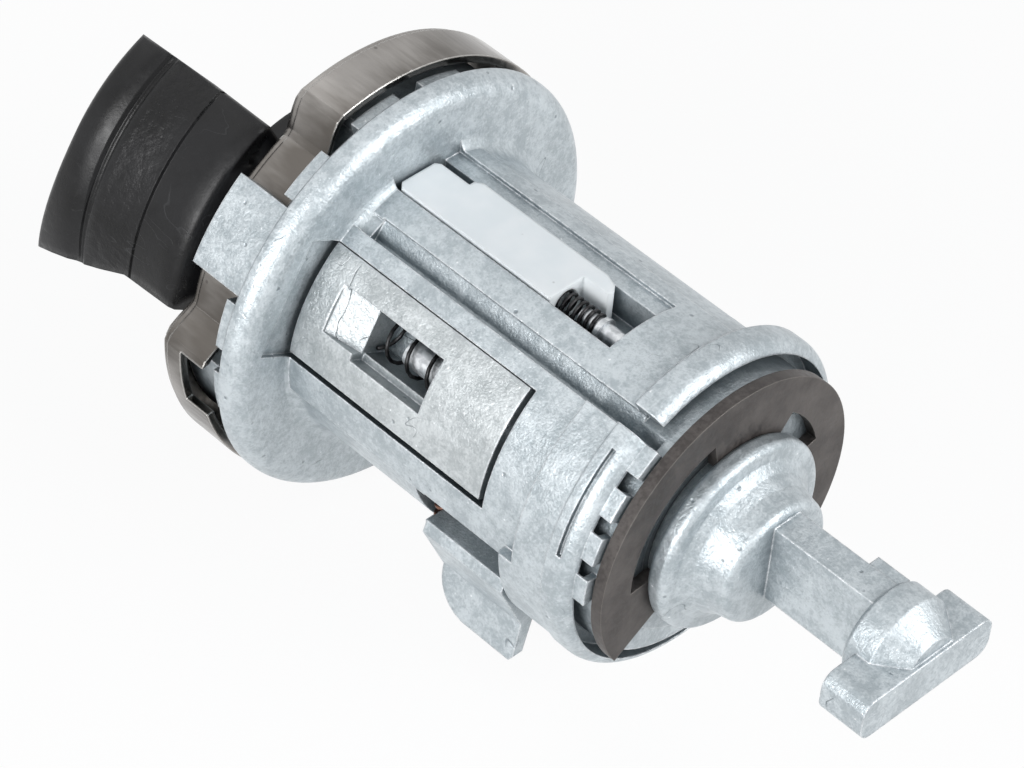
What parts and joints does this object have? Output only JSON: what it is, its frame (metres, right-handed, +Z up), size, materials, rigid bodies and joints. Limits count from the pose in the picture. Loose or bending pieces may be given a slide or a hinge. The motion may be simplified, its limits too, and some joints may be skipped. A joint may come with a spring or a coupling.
{
  "type": "ignition lock cylinder",
  "caption": "Cast ignition lock cylinder with a two-ear knob, sprung interlock slider and retaining tab, snap clip, and a flat drive shaft ending in a tee.",
  "frame": {"origin": "on the lock axis, in the rear face of the flange, which seats on the column", "axes": "+X along the lock axis from the key end to the drive end, +Z up through the window of the interlock slider"},
  "size_m": [0.0905, 0.0442, 0.0442],
  "materials": {
    "cast_zinc": "as die-cast, satin with fine specks",
    "shield_steel": "brushed, slightly browned",
    "knob_plastic": "fine-grained semi-gloss",
    "pin_steel": "turned",
    "plug_zinc": "as die-cast",
    "clip_steel": "dark phosphated",
    "white_nylon": "slightly translucent",
    "black_wire": "oiled spring wire",
    "block_zinc": "as die-cast",
    "brown_wire": "dark spring wire",
    "wafer_brass": "stamped",
    "bright_wire": "spring wire"
  },
  "bodies": {
    "housing_body": {"housing": "cast_zinc", "front_shield": "shield_steel", "slider_pin": "pin_steel", "side_block": "block_zinc", "slider_spring": "black_wire", "block_spring": "black_wire", "tab_spring": "brown_wire"},
    "plug_body": {"plug": "plug_zinc", "knob": "knob_plastic", "knob_pin": "pin_steel", "drive_shaft": "cast_zinc", "retaining_clip": "clip_steel", "wafer_spring_1": "bright_wire", "wafer_spring_2": "bright_wire", "wafer_spring_3": "bright_wire", "wafer_spring_4": "bright_wire", "wafer_spring_5": "bright_wire", "wafer_spring_6": "bright_wire", "side_bar_spring_1": "bright_wire", "side_bar_spring_2": "bright_wire"},
    "slider_body": {"interlock_slider": "white_nylon"},
    "plunger_body": {"block_plunger": "pin_steel"},
    "tab_body": {"retaining_tab": "cast_zinc"},
    "side_bar_body": {"side_bar": "plug_zinc"},
    "wafer_1_body": {"wafer_1": "wafer_brass"},
    "wafer_2_body": {"wafer_2": "wafer_brass"},
    "wafer_3_body": {"wafer_3": "wafer_brass"},
    "wafer_4_body": {"wafer_4": "wafer_brass"},
    "wafer_5_body": {"wafer_5": "wafer_brass"},
    "wafer_6_body": {"wafer_6": "wafer_brass"}
  },
  "joints": [
    {"name": "plug_turn", "type": "hinge", "parent": "housing_body", "child": "plug_body", "pos_m": [0, 0, 0], "axis": [1, 0, 0], "range_deg": [-30, 80]},
    {"name": "slider_slide", "type": "slide", "parent": "housing_body", "child": "slider_body", "axis": [1, 0, 0], "range_m": [0, 0.0025], "stiffness_N_per_m": 250, "springref_m": -0.004, "deforming": ["slider_spring"]},
    {"name": "plunger_slide", "type": "slide", "parent": "housing_body", "child": "plunger_body", "axis": [-1, 0, 0], "range_m": [0, 0.0018], "stiffness_N_per_m": 300, "springref_m": -0.004, "deforming": ["block_spring"]},
    {"name": "tab_press", "type": "slide", "parent": "housing_body", "child": "tab_body", "axis": [0, 0, 1], "range_m": [0, 0.003], "stiffness_N_per_m": 400, "springref_m": -0.004, "deforming": ["tab_spring"]},
    {"name": "wafer_1_slide", "type": "slide", "parent": "plug_body", "child": "wafer_1_body", "axis": [0, -0.5446, -0.8387], "range_m": [0, 0.0012], "stiffness_N_per_m": 80, "springref_m": -0.003, "deforming": ["wafer_spring_1"]},
    {"name": "wafer_2_slide", "type": "slide", "parent": "plug_body", "child": "wafer_2_body", "axis": [0, -0.5446, -0.8387], "range_m": [0, 0.0012], "stiffness_N_per_m": 80, "springref_m": -0.003, "deforming": ["wafer_spring_2"]},
    {"name": "wafer_3_slide", "type": "slide", "parent": "plug_body", "child": "wafer_3_body", "axis": [0, -0.5446, -0.8387], "range_m": [0, 0.0012], "stiffness_N_per_m": 80, "springref_m": -0.003, "deforming": ["wafer_spring_3"]},
    {"name": "wafer_4_slide", "type": "slide", "parent": "plug_body", "child": "wafer_4_body", "axis": [0, -0.5446, -0.8387], "range_m": [0, 0.0012], "stiffness_N_per_m": 80, "springref_m": -0.003, "deforming": ["wafer_spring_4"]},
    {"name": "wafer_5_slide", "type": "slide", "parent": "plug_body", "child": "wafer_5_body", "axis": [0, -0.5446, -0.8387], "range_m": [0, 0.0012], "stiffness_N_per_m": 80, "springref_m": -0.003, "deforming": ["wafer_spring_5"]},
    {"name": "wafer_6_slide", "type": "slide", "parent": "plug_body", "child": "wafer_6_body", "axis": [0, -0.5446, -0.8387], "range_m": [0, 0.0012], "stiffness_N_per_m": 80, "springref_m": -0.003, "deforming": ["wafer_spring_6"]},
    {"name": "side_bar_slide", "type": "slide", "parent": "plug_body", "child": "side_bar_body", "axis": [0, -0.8387, 0.5446], "range_m": [0, 0.0006], "stiffness_N_per_m": 150, "springref_m": -0.003, "deforming": ["side_bar_spring_1", "side_bar_spring_2"]}
  ]
}
